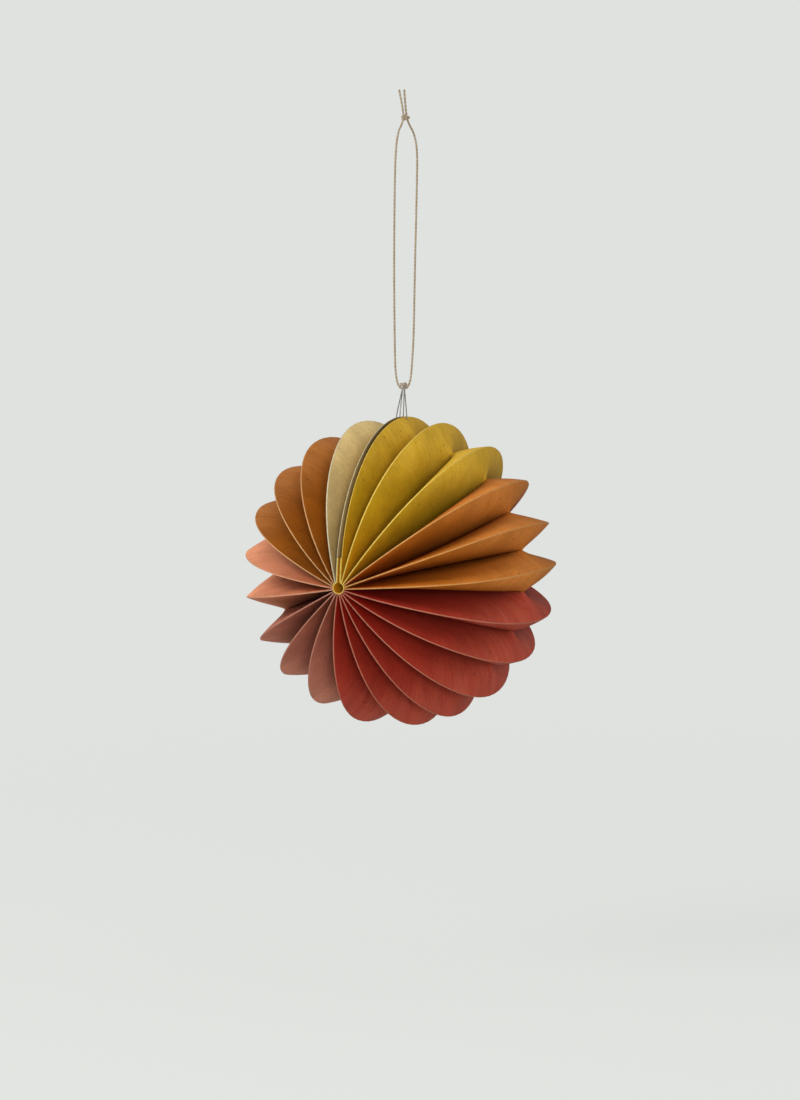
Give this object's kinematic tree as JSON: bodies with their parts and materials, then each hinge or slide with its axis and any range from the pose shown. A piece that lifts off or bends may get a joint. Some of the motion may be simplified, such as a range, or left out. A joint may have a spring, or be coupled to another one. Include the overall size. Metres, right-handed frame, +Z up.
{
  "type": "hanging paper rosette ball",
  "caption": "Hanging paper ball of folded half-disc leaves in a ring of warm colours, open at its hub, on a knotted loop of linen string.",
  "frame": {"origin": "inside the top of the string's loop, where the string bears on what it hangs from", "axes": "+Z up, away from the ball that hangs below; -Y towards the near pole, which is the ball's open hub; +X to the right of someone who faces that pole"},
  "size_m": [0.0997, 0.1056, 0.2052],
  "materials": {
    "cream_paper": "painted card, matt, with fine brush streaks",
    "yellow_paper": "painted card, matt, with fine brush streaks",
    "orange_paper": "painted card, matt, with fine brush streaks",
    "red_paper": "painted card, matt, with fine brush streaks",
    "rose_brown_paper": "painted card, matt, with fine brush streaks",
    "salmon_paper": "painted card, matt, with fine brush streaks",
    "caramel_paper": "painted card, matt, with fine brush streaks",
    "steel_wire": "dull grey wire",
    "linen_string": "twisted unbleached linen"
  },
  "bodies": {
    "root": {"caramel_fin_1_leaf_a": "caramel_paper", "caramel_fin_1_leaf_b": "caramel_paper", "caramel_fin_2_leaf_a": "caramel_paper", "caramel_fin_2_leaf_b": "caramel_paper", "caramel_fin_3_leaf_a": "caramel_paper", "caramel_fin_3_leaf_b": "caramel_paper", "cream_end_leaf": "cream_paper", "cream_fin_2_leaf_a": "cream_paper", "cream_fin_2_leaf_b": "cream_paper", "hub_strip": "yellow_paper", "orange_fin_1_leaf_a": "orange_paper", "orange_fin_1_leaf_b": "orange_paper", "orange_fin_2_leaf_a": "orange_paper", "orange_fin_2_leaf_b": "orange_paper", "orange_fin_3_leaf_a": "orange_paper", "orange_fin_3_leaf_b": "orange_paper", "red_fin_1_leaf_a": "red_paper", "red_fin_1_leaf_b": "red_paper", "red_fin_2_leaf_a": "red_paper", "red_fin_2_leaf_b": "red_paper", "red_fin_3_leaf_a": "red_paper", "red_fin_3_leaf_b": "red_paper", "red_fin_4_leaf_a": "red_paper", "red_fin_4_leaf_b": "red_paper", "red_fin_5_leaf_a": "red_paper", "red_fin_5_leaf_b": "red_paper", "red_fin_6_leaf_a": "red_paper", "red_fin_6_leaf_b": "red_paper", "rose_brown_fin_1_leaf_a": "rose_brown_paper", "rose_brown_fin_1_leaf_b": "rose_brown_paper", "rose_brown_fin_2_leaf_a": "rose_brown_paper", "rose_brown_fin_2_leaf_b": "rose_brown_paper", "rose_brown_fin_3_leaf_a": "rose_brown_paper", "rose_brown_fin_3_leaf_b": "rose_brown_paper", "salmon_fin_1_leaf_a": "salmon_paper", "salmon_fin_1_leaf_b": "salmon_paper", "salmon_fin_2_leaf_a": "salmon_paper", "salmon_fin_2_leaf_b": "salmon_paper", "string_hitch": "linen_string", "string_left": "linen_string", "string_right": "linen_string", "top_knot": "linen_string", "wire_ring_left": "steel_wire", "wire_ring_right": "steel_wire", "yellow_end_leaf": "yellow_paper", "yellow_fin_1_leaf_a": "yellow_paper", "yellow_fin_1_leaf_b": "yellow_paper", "yellow_fin_2_leaf_a": "yellow_paper", "yellow_fin_2_leaf_b": "yellow_paper"}
  },
  "joints": []
}
